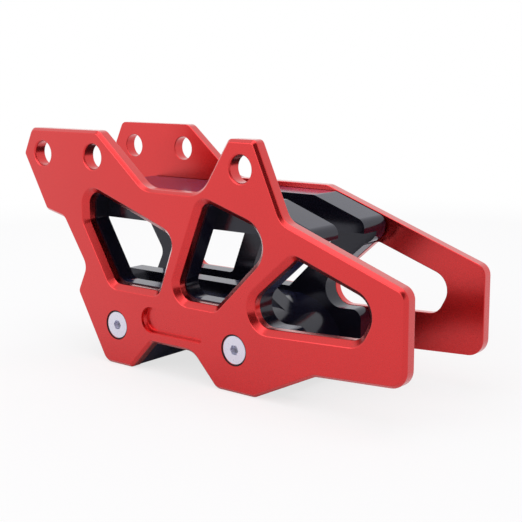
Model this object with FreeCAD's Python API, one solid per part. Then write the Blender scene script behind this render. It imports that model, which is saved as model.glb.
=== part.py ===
import FreeCAD, Part
import math
import os

# Off-road motorcycle chain guide: two machined aluminium side plates screwed to a moulded
# slider block that the lower chain run passes through.
# X runs along the chain from the front ear to the tail, Y across the guide, Z up.
# The origin is the axis of the front ear hole, midway between the plates. Lengths in mm.

# Widths across the guide
plate_thickness = 4.5
block_width = 40.0
wall_thickness = 5.8
rib_width = 6.4
slot_width = 14.0

# Heights above and below the front ear hole
ear_rise = 8.8
apex_rise = 8.4
valley_level = -9.2
block_top = -10.8
tunnel_roof = -21.8
tunnel_floor = -45.8
rib_top = -42.0
arch_level = -60.7
foot_level = -71.0

# Lengths along the guide
ear_front_x = -10.9
tail_end_x = 150.6
tail_knee_x = 107.7
tail_knee_z = -15.0
tail_slope = 0.36
block_front_x = 9.0
block_nose_x = 115.6
nose_underside = -26.7
block_tail_x = 109.8

# Mounting holes and their edge break
mount_hole_diameter = 8.5
second_hole_x = 25.9
apex_hole_x = 91.7
apex_hole_z = -0.5
hole_edge_break = 0.4

# Plate edges and the shallow pocket between the screws
outline_chamfer = 1.0
window_chamfer = 1.9
pocket_depth = 1.0
pocket_low_z = -57.2
pocket_high_z = -48.4
pocket_start_x = 47.7
pocket_end_x = 74.8
pocket_end_radius = 4.3
pocket_corner_radius = 1.0

# Countersunk screws with a hexagon socket, and the moulded-in threaded inserts
screw_positions = {"front": (35.5, -57.0), "tail": (88.4, -57.0)}
screw_diameter = 5.0
screw_length = 14.0
screw_tip_chamfer = 0.6
screw_head_diameter = 9.6
screw_head_rim = 0.3
head_sink = 0.3
socket_across_flats = 3.0
socket_depth = 2.0
countersink_diameter = 10.2
plate_screw_clearance = 0.25
insert_diameter = 7.0
insert_length = 11.0
insert_groove_depth = 0.5
insert_groove_width = 2.0
thread_clearance = 0.05

# Slider block details
block_inset = 0.15
window_inset = 0.4
block_edge_chamfer = 1.0
smallest_radius = 0.2
same_place = 1e-6
floor_end_x = 83.5
floor_end_radius = 20.0
rib_front_x = 11.0
rib_front_run = 9.0
rib_end_x = 83.0
rib_foot_x = 92.5
slot_start_x = 72.0

# Derived widths
half_block = block_width / 2
outer_face = half_block + plate_thickness
tunnel_half = half_block - wall_thickness


def tail_slope_z(x):
    """Height of the sloping top edge of the tail at x."""
    return tail_knee_z - tail_slope * (x - tail_knee_x)


def tail_slope_x(z):
    """Place along the guide where the sloping top edge of the tail has height z."""
    return tail_knee_x + (tail_knee_z - z) / tail_slope


def height_between(start, end, x):
    """Height at x of the straight line between two corners."""
    return start[1] + (end[1] - start[1]) * (x - start[0]) / (end[0] - start[0])


def place_between(start, end, z):
    """Place along the guide where the straight line between two corners has height z."""
    return start[0] + (end[0] - start[0]) * (z - start[1]) / (end[1] - start[1])


# Corners are (x, z, corner radius), clockwise seen from the near side.
ear_corners = [
    (ear_front_x, -0.4, 2.0),
    (-6.2, ear_rise, 2.5),
    (28.7, ear_rise, 4.0),
    (50.5, valley_level, 9.0),
]
apex_corners = [
    (75.1, valley_level, 9.0),
    (86.7, apex_rise, 2.0),
    (97.2, apex_rise, 2.0),
    (tail_knee_x, tail_slope_z(tail_knee_x), 6.0),
]
flat_knee_corner = (tail_slope_x(valley_level), valley_level, 5.0)
tail_foot_top = (119.2, -60.1, 3.0)
tail_foot_toe = (96.0, foot_level, 4.0)
tail_corners = [
    (tail_end_x, tail_slope_z(tail_end_x), 4.0),
    (tail_end_x, -58.2, 5.5),
    tail_foot_top,
]
foot_corners = [
    tail_foot_toe,
    (80.3, foot_level, 3.5),
    (70.4, arch_level, 6.0),
    (51.9, arch_level, 2.5),
    (41.8, foot_level, 2.0),
    (29.1, foot_level, 4.0),
]
front_edge_corners = [
    (15.6, -47.4, 2.5),
    (20.2, -38.2, 4.0),
    (9.6, -22.1, 3.0),
]
ear_root_corner = (0.4, -20.1, 2.0)

front_window = [
    (21.7, -10.6, 4.5),
    (62.1, -24.3, 4.0),
    (54.8, -42.8, 2.5),
    (34.0, -42.8, 4.0),
    (21.7, -22.3, 3.0),
]
middle_window = [
    (75.4, -11.5, 3.5),
    (105.0, -20.6, 7.0),
    (80.4, -44.3, 1.5),
    (61.5, -44.3, 5.0),
]
tail_window_top = (111.6, -26.0, 3.0)
tail_window_end = (134.4, -46.9, 5.0)
tail_window_low = (84.4, -49.4, 6.0)
tail_window = [
    tail_window_top,
    (140.2, -36.0, 6.0),
    tail_window_end,
    tail_window_low,
]

# The block's own outline: a rounded nose, the open tail mouth along the tail window, and the
# lower bars' ends; below and in front it follows the plates.
block_nose_corners = [
    (block_front_x, block_top, 2.5),
    (tail_slope_x(block_top), block_top, 3.0),
    (block_nose_x, tail_slope_z(block_nose_x), 3.5),
    (block_nose_x, nose_underside, 5.8),
]
mouth_top = (place_between(tail_window_low, tail_window_top, nose_underside), nose_underside, 3.0)
bar_top = height_between(tail_window_low, tail_window_end, block_tail_x)
bar_underside = height_between(tail_foot_toe, tail_foot_top, block_tail_x)
floor_end_corner = (floor_end_x + floor_end_radius, tunnel_floor, floor_end_radius)
block_tail_corners = [
    tail_window_low,
    (block_tail_x, bar_top, 3.5),
    (block_tail_x, bar_underside, 3.0),
]


def rounded_wire(corners, y=0.0):
    """Closed wire in the XZ plane with each corner rounded to its radius."""
    count = len(corners)
    points = [FreeCAD.Vector(x, y, z) for x, z, radius in corners]
    starts, ends, middles = [], [], []
    for i in range(count):
        corner = points[i]
        to_previous = (points[i - 1] - corner).normalize()
        to_next = (points[(i + 1) % count] - corner).normalize()
        half_angle = to_previous.getAngle(to_next) / 2
        radius = corners[i][2]
        reach = radius / math.tan(half_angle)
        bisector = (to_previous + to_next).normalize()
        starts.append(corner + to_previous * reach)
        ends.append(corner + to_next * reach)
        middles.append(corner + bisector * (radius / math.sin(half_angle) - radius))
    edges = []
    for i in range(count):
        following = (i + 1) % count
        edges.append(Part.Arc(starts[i], middles[i], ends[i]).toShape())
        edges.append(Part.LineSegment(ends[i], starts[following]).toShape())
    return Part.Wire(edges)


def prism(corners, y_from, y_to):
    """Rounded outline extruded across the guide."""
    face = Part.Face(rounded_wire(corners, y_from))
    return face.extrude(FreeCAD.Vector(0, y_to - y_from, 0))


def crosswise_cylinder(x, z, radius, y_from, y_to):
    start = FreeCAD.Vector(x, y_from, z)
    return Part.makeCylinder(radius, y_to - y_from, start, FreeCAD.Vector(0, 1, 0))


def turned_profile(points, x, z, face_y):
    """Solid turned about a crosswise axis; points are (radius, depth below the near face)."""
    outline = [FreeCAD.Vector(x + radius, face_y + depth, z) for radius, depth in points]
    outline.append(outline[0])
    face = Part.Face(Part.makePolygon(outline))
    return face.revolve(FreeCAD.Vector(x, 0, z), FreeCAD.Vector(0, 1, 0), 360)


def to_far_side(shape):
    return shape.mirror(FreeCAD.Vector(0, 0, 0), FreeCAD.Vector(0, 1, 0))


def inset(corners, distance):
    """Outline moved inwards by a distance, with its corner radii following."""
    count = len(corners)
    lines = []
    for i in range(count):
        x1, z1, radius = corners[i]
        x2, z2, radius = corners[(i + 1) % count]
        length = math.hypot(x2 - x1, z2 - z1)
        normal = ((z2 - z1) / length, -(x2 - x1) / length)
        lines.append((normal, normal[0] * x1 + normal[1] * z1 + distance))
    moved = []
    for i in range(count):
        (a1, b1), c1 = lines[i - 1]
        (a2, b2), c2 = lines[i]
        determinant = a1 * b2 - a2 * b1
        x = (c1 * b2 - c2 * b1) / determinant
        z = (a1 * c2 - a2 * c1) / determinant
        inward_turn = determinant > 0
        radius = corners[i][2] + (distance if inward_turn else -distance)
        moved.append((x, z, max(radius, smallest_radius)))
    return moved


def countersink(x, z):
    """Screw hole in the near plate: a short counterbore and a 90 degree cone."""
    mouth_radius = countersink_diameter / 2
    hole_radius = screw_diameter / 2 + plate_screw_clearance
    cone_end = head_sink + mouth_radius - hole_radius
    points = [
        (0, 0),
        (mouth_radius, 0),
        (mouth_radius, head_sink),
        (hole_radius, cone_end),
        (hole_radius, plate_thickness),
        (0, plate_thickness),
    ]
    return turned_profile(points, x, z, -outer_face)


def label_pocket():
    corners = [
        (pocket_start_x, pocket_high_z, pocket_end_radius),
        (pocket_end_x, pocket_high_z, pocket_corner_radius),
        (pocket_end_x, pocket_low_z, pocket_corner_radius),
        (pocket_start_x, pocket_low_z, pocket_end_radius),
    ]
    return prism(corners, -outer_face, -outer_face + pocket_depth)


def outer_plane(plate):
    """The flat face on the outside of a near-side plate."""
    for face in plate.Faces:
        if all(abs(vertex.Point.y + outer_face) < same_place for vertex in face.Vertexes):
            return face


def side_plate(outline, hole_places):
    """Plate on the near side, its outer face chamfered round the outline and windows."""
    plate = prism(outline, -outer_face, -half_block)
    plate = plate.makeChamfer(outline_chamfer, outer_plane(plate).OuterWire.Edges)
    for window in (front_window, middle_window, tail_window):
        plate = plate.cut(prism(window, -outer_face, -half_block))
    plane = outer_plane(plate)
    windows = [wire for wire in plane.Wires if not wire.isSame(plane.OuterWire)]
    window_edges = [edge for wire in windows for edge in wire.Edges]
    plate = plate.makeChamfer(window_chamfer, window_edges)
    radius = mount_hole_diameter / 2
    for x, z in hole_places:
        points = [
            (0, 0),
            (radius + hole_edge_break, 0),
            (radius, hole_edge_break),
            (radius, plate_thickness),
            (0, plate_thickness),
        ]
        plate = plate.cut(turned_profile(points, x, z, -outer_face))
    for x, z in screw_positions.values():
        plate = plate.cut(countersink(x, z))
    return plate


def near_plate():
    outline = ear_corners + apex_corners + tail_corners + foot_corners
    outline += front_edge_corners + [ear_root_corner]
    holes = [(0, 0), (second_hole_x, 0), (apex_hole_x, apex_hole_z)]
    return side_plate(outline, holes).cut(label_pocket())


def far_plate():
    outline = ear_corners + [flat_knee_corner] + tail_corners + foot_corners
    outline += front_edge_corners + [ear_root_corner]
    return to_far_side(side_plate(outline, [(0, 0), (second_hole_x, 0)]))


def screw(x, z):
    """Countersunk screw on the near side, its head a little below the plate's face."""
    head_radius = screw_head_diameter / 2
    shank_radius = screw_diameter / 2
    head_face = -outer_face + head_sink
    points = [
        (0, 0),
        (head_radius - screw_head_rim, 0),
        (head_radius, screw_head_rim),
        (shank_radius, screw_head_rim + head_radius - shank_radius),
        (shank_radius, screw_length - screw_tip_chamfer),
        (shank_radius - screw_tip_chamfer, screw_length),
        (0, screw_length),
    ]
    body = turned_profile(points, x, z, head_face)
    corner_radius = socket_across_flats / math.sqrt(3)
    ring = []
    for i in range(7):
        angle = math.radians(60 * i)
        ring.append(FreeCAD.Vector(
            x + corner_radius * math.cos(angle), head_face, z + corner_radius * math.sin(angle)))
    socket = Part.Face(Part.makePolygon(ring)).extrude(FreeCAD.Vector(0, socket_depth, 0))
    return body.cut(socket)


def insert_body(x, z):
    """Outer form of a threaded insert: a bush with a locking groove round its middle."""
    radius = insert_diameter / 2
    groove_start = (insert_length - insert_groove_width) / 2
    groove_end = groove_start + insert_groove_width
    points = [
        (0, 0),
        (radius, 0),
        (radius, groove_start),
        (radius - insert_groove_depth, groove_start),
        (radius - insert_groove_depth, groove_end),
        (radius, groove_end),
        (radius, insert_length),
        (0, insert_length),
    ]
    return turned_profile(points, x, z, -half_block)


def threaded_insert(x, z):
    bore_radius = screw_diameter / 2 + thread_clearance
    bore = crosswise_cylinder(x, z, bore_radius, -half_block, -half_block + insert_length)
    return insert_body(x, z).cut(bore)


def same_side(edge):
    """True for an edge that lies in one side face, false for one that runs across."""
    ends = [vertex.Point.y for vertex in edge.Vertexes]
    return ends[0] * ends[-1] > 0


def crosswise_box(x_from, x_to, half_width, z_from, z_to):
    corner = FreeCAD.Vector(x_from, -half_width, z_from)
    return Part.makeBox(x_to - x_from, 2 * half_width, z_to - z_from, corner)


def block_body():
    """Solid block, its outer edges chamfered along the top and round the nose."""
    corners = block_nose_corners + [mouth_top] + block_tail_corners
    outline = inset(corners + foot_corners + front_edge_corners, block_inset)
    body = prism(outline, -half_block, half_block)
    top_corners = inset(block_nose_corners + [front_edge_corners[-1]], block_inset)
    top = prism(top_corners, -half_block, half_block)
    side_edges = []
    for edge in top.Edges:
        places = [abs(vertex.Point.y) for vertex in edge.Vertexes]
        if all(abs(place - half_block) < same_place for place in places) and same_side(edge):
            side_edges.append(edge)
    top = top.makeChamfer(block_edge_chamfer, side_edges)
    mouth_x = mouth_top[0]
    below = crosswise_box(ear_front_x, mouth_x, half_block, foot_level, tunnel_roof)
    bars_top = tail_window_top[1] - block_edge_chamfer
    bars = crosswise_box(ear_front_x, tail_end_x, half_block, foot_level, bars_top)
    return body.common(top.fuse(below).fuse(bars))


def chain_tunnel():
    """Passage for the lower chain run; at the tail its floor rounds off downwards."""
    corners = [
        (ear_front_x, tunnel_roof, smallest_radius),
        (tail_end_x, tunnel_roof, smallest_radius),
        (tail_end_x, foot_level, smallest_radius),
        (floor_end_corner[0], foot_level, smallest_radius),
        floor_end_corner,
        (ear_front_x, tunnel_floor, smallest_radius),
    ]
    return prism(corners, -tunnel_half, tunnel_half)


def floor_z(x):
    """Height of the rounded tail end of the tunnel floor at x."""
    drop = floor_end_radius - math.sqrt(floor_end_radius ** 2 - (x - floor_end_x) ** 2)
    return tunnel_floor - drop


def centre_rib():
    """Rib that the chain rollers run on; both its ends slope down to the tunnel floor."""
    side = [
        (rib_front_x, tunnel_floor),
        (rib_front_x + rib_front_run, rib_top),
        (rib_end_x, rib_top),
        (rib_foot_x, floor_z(rib_foot_x)),
    ]
    points = [FreeCAD.Vector(x, -rib_width / 2, z) for x, z in side]
    points.append(points[0])
    return Part.Face(Part.makePolygon(points)).extrude(FreeCAD.Vector(0, rib_width, 0))


def slider_block():
    block = block_body()
    for window in (front_window, middle_window):
        opening = inset(window, window_inset)
        block = block.cut(prism(opening, -half_block, -tunnel_half))
        block = block.cut(prism(opening, tunnel_half, half_block))
    block = block.cut(chain_tunnel().cut(centre_rib()))
    slot = crosswise_box(slot_start_x, tail_end_x, slot_width / 2, tunnel_roof, ear_rise)
    block = block.cut(slot)
    for x, z in screw_positions.values():
        seat = insert_body(x, z)
        block = block.cut(seat).cut(to_far_side(seat))
    return block


def export(name, shape):
    shape.exportStep("parts/%s.step" % name)


os.makedirs("parts", exist_ok=True)
export("near_plate", near_plate())
export("far_plate", far_plate())
export("slider_block", slider_block())
for place, (x, z) in screw_positions.items():
    export("near_screw_" + place, screw(x, z))
    export("far_screw_" + place, to_far_side(screw(x, z)))
    export("near_insert_" + place, threaded_insert(x, z))
    export("far_insert_" + place, to_far_side(threaded_insert(x, z)))
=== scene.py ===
import math

import bmesh
import bpy
from mathutils import Matrix, Vector


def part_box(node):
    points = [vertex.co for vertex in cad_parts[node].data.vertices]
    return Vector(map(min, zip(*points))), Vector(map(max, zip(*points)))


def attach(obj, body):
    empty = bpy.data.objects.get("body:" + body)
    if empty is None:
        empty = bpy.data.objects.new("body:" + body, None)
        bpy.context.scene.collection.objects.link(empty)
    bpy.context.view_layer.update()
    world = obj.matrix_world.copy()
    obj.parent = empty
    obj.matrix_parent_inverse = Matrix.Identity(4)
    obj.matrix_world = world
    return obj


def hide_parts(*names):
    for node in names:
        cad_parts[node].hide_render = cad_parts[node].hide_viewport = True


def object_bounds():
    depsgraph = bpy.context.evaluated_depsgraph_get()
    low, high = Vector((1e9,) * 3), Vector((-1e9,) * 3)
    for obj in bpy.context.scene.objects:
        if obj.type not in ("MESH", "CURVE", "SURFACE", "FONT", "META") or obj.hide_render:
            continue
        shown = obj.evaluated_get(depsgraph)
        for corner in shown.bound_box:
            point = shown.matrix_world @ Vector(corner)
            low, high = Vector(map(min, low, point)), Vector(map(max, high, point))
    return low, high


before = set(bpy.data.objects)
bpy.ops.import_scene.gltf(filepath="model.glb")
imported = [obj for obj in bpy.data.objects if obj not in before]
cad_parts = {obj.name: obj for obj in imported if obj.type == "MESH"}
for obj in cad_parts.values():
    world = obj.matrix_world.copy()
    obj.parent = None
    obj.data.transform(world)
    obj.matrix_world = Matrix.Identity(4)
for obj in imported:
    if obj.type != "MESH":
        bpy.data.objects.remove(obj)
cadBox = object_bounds()
mm = 0.001  # the scene is in metres, sizes below are in millimetres times mm


# Colours and nodes

def toLinear(hexColour):
    # sRGB hex, as a paint chart gives it, to the linear colour the shader wants
    channels = []
    for start in (1, 3, 5):
        value = int(hexColour[start:start + 2], 16) / 255
        channels.append(value / 12.92 if value <= 0.04045 else ((value + 0.055) / 1.055) ** 2.4)
    return (*channels, 1.0)


def addNode(tree, kind, settings=None, links=None):
    # settings: property name, or socket name or number, to value; links: socket to an output socket
    node = tree.nodes.new(kind)
    for name, value in (settings or {}).items():
        if isinstance(name, int) or name in node.inputs:
            node.inputs[name].default_value = value
        else:
            setattr(node, name, value)
    for name, output in (links or {}).items():
        tree.links.new(output, node.inputs[name])
    return node


def newMaterial(name):
    material = bpy.data.materials.new(name)
    material.use_nodes = True
    material.node_tree.nodes.clear()
    return material, material.node_tree


def perMetre(sizeInMm):
    # texture scale at which one feature is about this many millimetres wide
    return 1000 / sizeInMm


noiseSpan = (0.3, 0.7)  # most of a noise texture's values lie between these


# Aluminium 7075, milled from plate, bead blasted and dyed red in the anodising bath: a satin metal
# whose clear oxide skin adds a thin white sheen over the deep red.
anodised = {
    "colour": "#D61517",
    "deepColour": "#CA1013",
    "roughness": (0.25, 0.32),
    "coat": 1.0,
    "coatIor": 1.52,
    "coatRoughness": 0.22,
    "blastGrain": 0.35,  # real grit is about 0.1 mm, drawn coarser so that it shows
    "cloudSize": 28,
    "blastDepth": 0.003 * mm,
    "blastStrength": 0.5,
}


def anodisedAluminium():
    material, tree = newMaterial("redAnodisedAluminium")
    place = addNode(tree, "ShaderNodeTexCoord").outputs["Object"]
    clouds = addNode(tree, "ShaderNodeTexNoise",
                     {"Scale": perMetre(anodised["cloudSize"]), "Detail": 3.0}, {"Vector": place})
    dye = addNode(tree, "ShaderNodeMixRGB",
                  {"Color1": toLinear(anodised["deepColour"]),
                   "Color2": toLinear(anodised["colour"])},
                  {"Fac": clouds.outputs["Fac"]})
    grit = addNode(tree, "ShaderNodeTexNoise",
                   {"Scale": perMetre(anodised["blastGrain"]), "Detail": 4.0, "Roughness": 0.6},
                   {"Vector": place})
    satin = addNode(tree, "ShaderNodeMapRange",
                    {"From Min": noiseSpan[0], "From Max": noiseSpan[1],
                     "To Min": anodised["roughness"][0], "To Max": anodised["roughness"][1]},
                    {"Value": grit.outputs["Fac"]})
    bump = addNode(tree, "ShaderNodeBump",
                   {"Strength": anodised["blastStrength"], "Distance": anodised["blastDepth"]},
                   {"Height": grit.outputs["Fac"]})
    shader = addNode(tree, "ShaderNodeBsdfPrincipled",
                     {"Metallic": 1.0, "Coat Weight": anodised["coat"],
                      "Coat IOR": anodised["coatIor"],
                      "Coat Roughness": anodised["coatRoughness"]},
                     {"Base Color": dye.outputs["Color"], "Roughness": satin.outputs["Result"],
                      "Normal": bump.outputs["Normal"]})
    addNode(tree, "ShaderNodeOutputMaterial", {}, {"Surface": shader.outputs["BSDF"]})
    return material


# Nylon, black, injection moulded in a polished tool: glossy, with the slight waves of shrinkage.
nylon = {
    "colour": "#0E0D14",
    "ior": 1.49,
    "paintedColdGlossTint": "#EFF0FF",  # painted reflection: a slight cold tint on the shine, for the bluish light round the part
    "paintedColdSheen": 0.14,  # painted sheen: a faint cold haze at shallow angles, a painted bluish reflection of the surroundings
    "paintedSheenColour": "#8E9AFF",
    "paintedSheenSpread": 0.4,
    "roughness": (0.13, 0.19),
    "waveSize": 14,
    "waveDepth": 0.04 * mm,
    "waveStrength": 0.6,
    "grainSize": 0.8,
    "grainDepth": 0.001 * mm,
    "grainStrength": 0.4,
}


def mouldedNylon():
    material, tree = newMaterial("blackMouldedNylon")
    place = addNode(tree, "ShaderNodeTexCoord").outputs["Object"]
    waves = addNode(tree, "ShaderNodeTexNoise",
                    {"Scale": perMetre(nylon["waveSize"]), "Detail": 1.0}, {"Vector": place})
    grain = addNode(tree, "ShaderNodeTexNoise",
                    {"Scale": perMetre(nylon["grainSize"]), "Detail": 3.0}, {"Vector": place})
    gloss = addNode(tree, "ShaderNodeMapRange",
                    {"From Min": noiseSpan[0], "From Max": noiseSpan[1],
                     "To Min": nylon["roughness"][0], "To Max": nylon["roughness"][1]},
                    {"Value": grain.outputs["Fac"]})
    shrink = addNode(tree, "ShaderNodeBump",
                     {"Strength": nylon["waveStrength"], "Distance": nylon["waveDepth"]},
                     {"Height": waves.outputs["Fac"]})
    bump = addNode(tree, "ShaderNodeBump",
                   {"Strength": nylon["grainStrength"], "Distance": nylon["grainDepth"]},
                   {"Height": grain.outputs["Fac"], "Normal": shrink.outputs["Normal"]})
    # the sheen and the specular tint are painted cold reflection, not a property of the nylon
    shader = addNode(tree, "ShaderNodeBsdfPrincipled",
                     {"Base Color": toLinear(nylon["colour"]), "IOR": nylon["ior"],
                      "Specular Tint": toLinear(nylon["paintedColdGlossTint"]),
                      "Sheen Weight": nylon["paintedColdSheen"], "Sheen Roughness": nylon["paintedSheenSpread"],
                      "Sheen Tint": toLinear(nylon["paintedSheenColour"])},
                     {"Roughness": gloss.outputs["Result"], "Normal": bump.outputs["Normal"]})
    addNode(tree, "ShaderNodeOutputMaterial", {}, {"Surface": shader.outputs["BSDF"]})
    return material


# Stainless steel, cold headed: bright grey metal, a little dull from tumbling.
stainless = {"colour": "#DCDCE8", "metallic": 1.0, "shine": 0.5, "roughness": (0.26, 0.36),
             "grainSize": 0.8, "grainDetail": 4.0}

# Brass, turned on a bar automatic: warm yellow metal with a fine satin.
brass = {"colour": "#C9A35A", "metallic": 1.0, "shine": 0.5, "roughness": (0.22, 0.34),
         "grainSize": 0.5, "grainDetail": 4.0}

# Painted shade: a black, matt ring put in the dark gap round each screw head.
gapShadeFinish = {"colour": "#101012", "metallic": 0.0, "shine": 0.25, "roughness": (0.55, 0.7),
          "grainSize": 0.4, "grainDetail": 3.0}


def plainFinish(name, look):
    material, tree = newMaterial(name)
    place = addNode(tree, "ShaderNodeTexCoord").outputs["Object"]
    marks = addNode(tree, "ShaderNodeTexNoise",
                    {"Scale": perMetre(look["grainSize"]), "Detail": look["grainDetail"]},
                    {"Vector": place})
    dull = addNode(tree, "ShaderNodeMapRange",
                   {"From Min": noiseSpan[0], "From Max": noiseSpan[1],
                    "To Min": look["roughness"][0], "To Max": look["roughness"][1]},
                   {"Value": marks.outputs["Fac"]})
    shader = addNode(tree, "ShaderNodeBsdfPrincipled",
                     {"Base Color": toLinear(look["colour"]), "Metallic": look["metallic"],
                      "Specular IOR Level": look["shine"]},
                     {"Roughness": dull.outputs["Result"]})
    addNode(tree, "ShaderNodeOutputMaterial", {}, {"Surface": shader.outputs["BSDF"]})
    return material


materials = {
    "plate": anodisedAluminium(),
    # the ring finish is painted shade, a black ring in the dark gap round each screw head
    "ring": plainFinish("blackPaintedGapShade", gapShadeFinish),
    "block": mouldedNylon(),
    "screw": plainFinish("tumbledStainlessSteel", stainless),
    "insert": plainFinish("turnedBrass", brass),
}
print("materials made")


def toObject(bm, name, material):
    for face in bm.faces:
        face.smooth = True
    mesh = bpy.data.meshes.new(name)
    bm.to_mesh(mesh)
    bm.free()
    mesh.materials.append(material)
    thing = bpy.data.objects.new(name, mesh)
    bpy.context.scene.collection.objects.link(thing)
    return thing


# Plates and block, with their sharp edges broken

edgeBreaks = {
    "near_plate": {"name": "nearSidePlate", "slot": "plate", "radius": 0.22 * mm, "segments": 3},
    "far_plate": {"name": "farSidePlate", "slot": "plate", "radius": 0.22 * mm, "segments": 3},
    "slider_block": {"name": "sliderBlock", "slot": "block", "radius": 0.5 * mm, "segments": 3},
}
sharpAngle = math.radians(24)
flatAngle = math.radians(0.2)
samePlace = 0.002 * mm
crispPlaces = {  # milled last, after the tumbling, so their edges stay crisp
    "roundScrews": 6 * mm,
    "pocketX": (47.0 * mm, 75.5 * mm),
    "pocketZ": (-57.9 * mm, -47.7 * mm),
}
pocketGroove = {"width": 0.45 * mm, "depth": 1.0 * mm}  # left by the cutter round the floor
screwNodes = [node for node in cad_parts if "screw" in node]
screwAxes = [sum(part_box(node), Vector()) / 2 for node in screwNodes]


def inPocket(place):
    lowX, highX = crispPlaces["pocketX"]
    lowZ, highZ = crispPlaces["pocketZ"]
    return lowX < place.x < highX and lowZ < place.z < highZ


def isCrisp(edge):
    middle = (edge.verts[0].co + edge.verts[1].co) / 2
    return inPocket(middle) or any(
        math.hypot(middle.x - axis.x, middle.z - axis.z) < crispPlaces["roundScrews"]
        for axis in screwAxes)


def grooveThePocket(bm):
    # the floor is the flat face there that looks outwards, and its rim is sunk
    outwards = Vector((0, -1, 0))
    floor = [face for face in bm.faces if all(inPocket(vert.co) for vert in face.verts)
             and face.normal.angle(outwards) < sharpAngle]
    foot = list({vert for face in floor for vert in face.verts})
    bmesh.ops.inset_region(bm, faces=floor, thickness=pocketGroove["width"], use_even_offset=True)
    bmesh.ops.translate(bm, verts=foot, vec=(0, pocketGroove["depth"], 0))


def breakEdges(node, look):
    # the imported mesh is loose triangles: joined, merged into flat faces, then bevelled
    bm = bmesh.new()
    bm.from_mesh(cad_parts[node].data)
    bmesh.ops.remove_doubles(bm, verts=bm.verts, dist=samePlace)
    bmesh.ops.dissolve_limit(bm, angle_limit=flatAngle, verts=bm.verts, edges=bm.edges)
    if node == "near_plate":
        grooveThePocket(bm)
    sharp = [edge for edge in bm.edges
             if edge.is_manifold and edge.calc_face_angle() > sharpAngle]
    for edge in sharp:
        edge.smooth = look["slot"] != "plate" or not isCrisp(edge)
    broken = [edge for edge in sharp if edge.smooth]
    bmesh.ops.bevel(bm, geom=broken, offset=look["radius"], affect="EDGES",
                    segments=look["segments"], profile=0.5, material=-1, clamp_overlap=True)
    piece = toObject(bm, look["name"], materials[look["slot"]])
    normals = piece.modifiers.new("flatFaces", "WEIGHTED_NORMAL")
    normals.weight = 100
    normals.keep_sharp = True
    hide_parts(node)
    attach(piece, "root")


for node, look in edgeBreaks.items():
    breakEdges(node, look)
print("plates and block finished")


# Black rings in the gaps round the screw heads, as painted shade where the gaps are dark

gapShadeRing = {
    "radius": 4.93 * mm,
    "thickness": 0.42 * mm,
    "below": 0.28 * mm,  # from the plate's face to the middle of the ring
    "steps": 64,
    "sides": 12,
}


def addGapShadeRing(node, axis):
    nearFace, farFace = cadBox[0][1], cadBox[1][1]
    depth = nearFace + gapShadeRing["below"] if axis.y < 0 else farFace - gapShadeRing["below"]
    bm = bmesh.new()
    bmesh.ops.create_circle(bm, segments=gapShadeRing["sides"], radius=gapShadeRing["thickness"] / 2)
    bmesh.ops.translate(bm, verts=bm.verts, vec=(axis.x + gapShadeRing["radius"], depth, axis.z))
    bmesh.ops.spin(bm, geom=bm.verts[:] + bm.edges[:], cent=(axis.x, 0, axis.z),
                   axis=(0, 1, 0), angle=math.tau, steps=gapShadeRing["steps"], use_merge=True)
    bmesh.ops.remove_doubles(bm, verts=bm.verts, dist=samePlace)
    bmesh.ops.recalc_face_normals(bm, faces=bm.faces)
    piece = toObject(bm, node + "_ring", materials["ring"])
    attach(piece, "root")


for node, axis in zip(screwNodes, screwAxes):
    addGapShadeRing(node, axis)
print("rings made")


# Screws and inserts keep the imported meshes

for name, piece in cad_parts.items():
    if "screw" in name or "insert" in name:
        piece.data.materials.clear()
        piece.data.materials.append(materials["screw" if "screw" in name else "insert"])
print("screws and inserts finished")


# Camera

photoCamera = {
    "place": (0.2968, -0.2629, 0.0301),
    "right": (0.77153, 0.63616, -0.00671),
    "up": (-0.11133, 0.14539, 0.98309),
    "back": (0.62638, -0.75774, 0.18300),
    "lens": 72.65,
    "sensorWidth": 36,
    "clipStart": 0.01,
}
cameraTurn = Matrix((photoCamera["right"], photoCamera["up"], photoCamera["back"])).transposed()


def addCamera():
    data = bpy.data.cameras.new("photoCamera")
    data.sensor_width = photoCamera["sensorWidth"]
    data.lens = photoCamera["lens"]
    data.clip_start = photoCamera["clipStart"]
    camera = bpy.data.objects.new("photoCamera", data)
    camera.matrix_world = Matrix.Translation(photoCamera["place"]) @ cameraTurn.to_4x4()
    bpy.context.scene.collection.objects.link(camera)
    bpy.context.scene.camera = camera


addCamera()
print("camera placed")


# Floor and light

studio = {
    "floorSize": 6.0,
    "floorColour": "#F6F6F6",
    "whiteNear": 0.72,  # how far the paper burns out to white round the part, to the eye
    "fadeStart": 0.1,  # metres from the part's middle, where it starts to go quite white
    "fadeEnd": 0.5,
    "worldLevel": 0.64,
}


def seenDirectly(tree):
    # 1 for rays from the camera and for what metal and clear parts mirror, 0 for scattered light
    path = addNode(tree, "ShaderNodeLightPath")
    either = addNode(tree, "ShaderNodeMath", {"operation": "MAXIMUM"},
                     {0: path.outputs["Is Camera Ray"], 1: path.outputs["Is Glossy Ray"]})
    anyOf = addNode(tree, "ShaderNodeMath", {"operation": "MAXIMUM"},
                    {0: either.outputs["Value"], 1: path.outputs["Is Transmission Ray"]})
    return anyOf.outputs["Value"]


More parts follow.
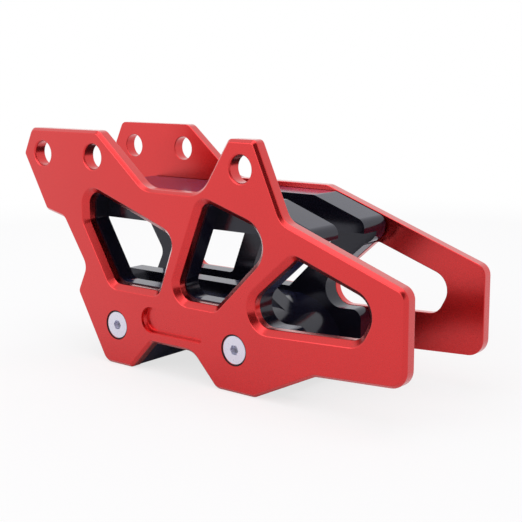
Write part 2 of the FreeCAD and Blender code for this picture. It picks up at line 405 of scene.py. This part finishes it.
def studioFloor():
    material, tree = newMaterial("matPaper")
    place = addNode(tree, "ShaderNodeTexCoord").outputs["Object"]
    away = addNode(tree, "ShaderNodeVectorMath", {"operation": "LENGTH"}, {"Vector": place})
    fade = addNode(tree, "ShaderNodeMapRange",
                   {"interpolation_type": "SMOOTHSTEP", "From Min": studio["fadeStart"],
                    "From Max": studio["fadeEnd"]}, {"Value": away.outputs["Value"]})
    faded = addNode(tree, "ShaderNodeMath", {"operation": "MULTIPLY"},
                    {0: fade.outputs["Result"], 1: seenDirectly(tree)})
    path = addNode(tree, "ShaderNodeLightPath")
    burnt = addNode(tree, "ShaderNodeMath", {"operation": "MULTIPLY", 1: studio["whiteNear"]},
                    {0: path.outputs["Is Camera Ray"]})
    white = addNode(tree, "ShaderNodeMath", {"operation": "MAXIMUM"},
                    {0: faded.outputs["Value"], 1: burnt.outputs["Value"]})
    paper = addNode(tree, "ShaderNodeBsdfDiffuse", {"Color": toLinear(studio["floorColour"])})
    glow = addNode(tree, "ShaderNodeEmission", {"Strength": 1.0})
    mix = addNode(tree, "ShaderNodeMixShader", {},
                  {"Fac": white.outputs["Value"], 1: paper.outputs["BSDF"],
                   2: glow.outputs["Emission"]})
    addNode(tree, "ShaderNodeOutputMaterial", {}, {"Surface": mix.outputs["Shader"]})
    bm = bmesh.new()
    bmesh.ops.create_grid(bm, x_segments=1, y_segments=1, size=studio["floorSize"] / 2)
    floor = toObject(bm, "studioFloor", material)
    lowest, highest = (Vector(corner) for corner in cadBox)
    middle = (lowest + highest) / 2
    floor.location = (middle.x, middle.y, lowest.z)


def whiteWorld():
    world = bpy.data.worlds.new("lightTent")
    bpy.context.scene.world = world
    world.use_nodes = True
    tree = world.node_tree
    tree.nodes.clear()
    white = (1, 1, 1, 1)
    lit = addNode(tree, "ShaderNodeBackground", {"Color": white, "Strength": studio["worldLevel"]})
    shown = addNode(tree, "ShaderNodeBackground", {"Color": white, "Strength": 1.0})
    mix = addNode(tree, "ShaderNodeMixShader", {},
                  {"Fac": seenDirectly(tree), 1: lit.outputs["Background"],
                   2: shown.outputs["Background"]})
    addNode(tree, "ShaderNodeOutputWorld", {}, {"Surface": mix.outputs["Shader"]})


softboxes = {
    "overheadSoftbox": {"place": (0.1, -0.1, 1.1), "size": 1.1, "watts": 5.2},
    "frontSoftbox": {"place": (-0.35, -1.0, 0.45), "size": 0.8, "watts": 3.5},
}
lampColour = "#FAF8FF"
lampAim = Vector((0.07, 0, -0.03))


def addSoftbox(name, look):
    light = bpy.data.lights.new(name, "AREA")
    light.shape = "SQUARE"
    light.size = look["size"]
    light.energy = look["watts"]
    light.color = toLinear(lampColour)[:3]
    lamp = bpy.data.objects.new(name, light)
    lamp.location = look["place"]
    towards = lampAim - Vector(look["place"])
    lamp.rotation_euler = towards.to_track_quat("-Z", "Y").to_euler()
    bpy.context.scene.collection.objects.link(lamp)


# The dark shape behind the lens, which metal facing it mirrors as deep red spots
darkCamera = {
    "radius": 0.115,
    "tallness": 1.6,
    "behindLens": 0.02,
    "above": 0.12,
    "colour": "#4A4A4C",
    "sides": 48,
}


def addDarkCamera():
    material, tree = newMaterial("greyCameraCloth")
    shader = addNode(tree, "ShaderNodeBsdfDiffuse", {"Color": toLinear(darkCamera["colour"])})
    addNode(tree, "ShaderNodeOutputMaterial", {}, {"Surface": shader.outputs["BSDF"]})
    bm = bmesh.new()
    bmesh.ops.create_circle(bm, cap_ends=True, segments=darkCamera["sides"],
                            radius=darkCamera["radius"])
    bmesh.ops.scale(bm, verts=bm.verts, vec=(1, darkCamera["tallness"], 1))
    card = toObject(bm, "darkCamera", material)
    back = Vector(photoCamera["back"])
    card.location = (Vector(photoCamera["place"]) + back * darkCamera["behindLens"]
                     + Vector((0, 0, darkCamera["above"])))
    card.rotation_euler = cameraTurn.to_euler()
    card.visible_camera = False
    card.visible_diffuse = False
    card.visible_shadow = False


studioFloor()
whiteWorld()
addDarkCamera()
for name, look in softboxes.items():
    addSoftbox(name, look)
print("studio made")


bpy.context.scene.view_settings.view_transform = "Standard"
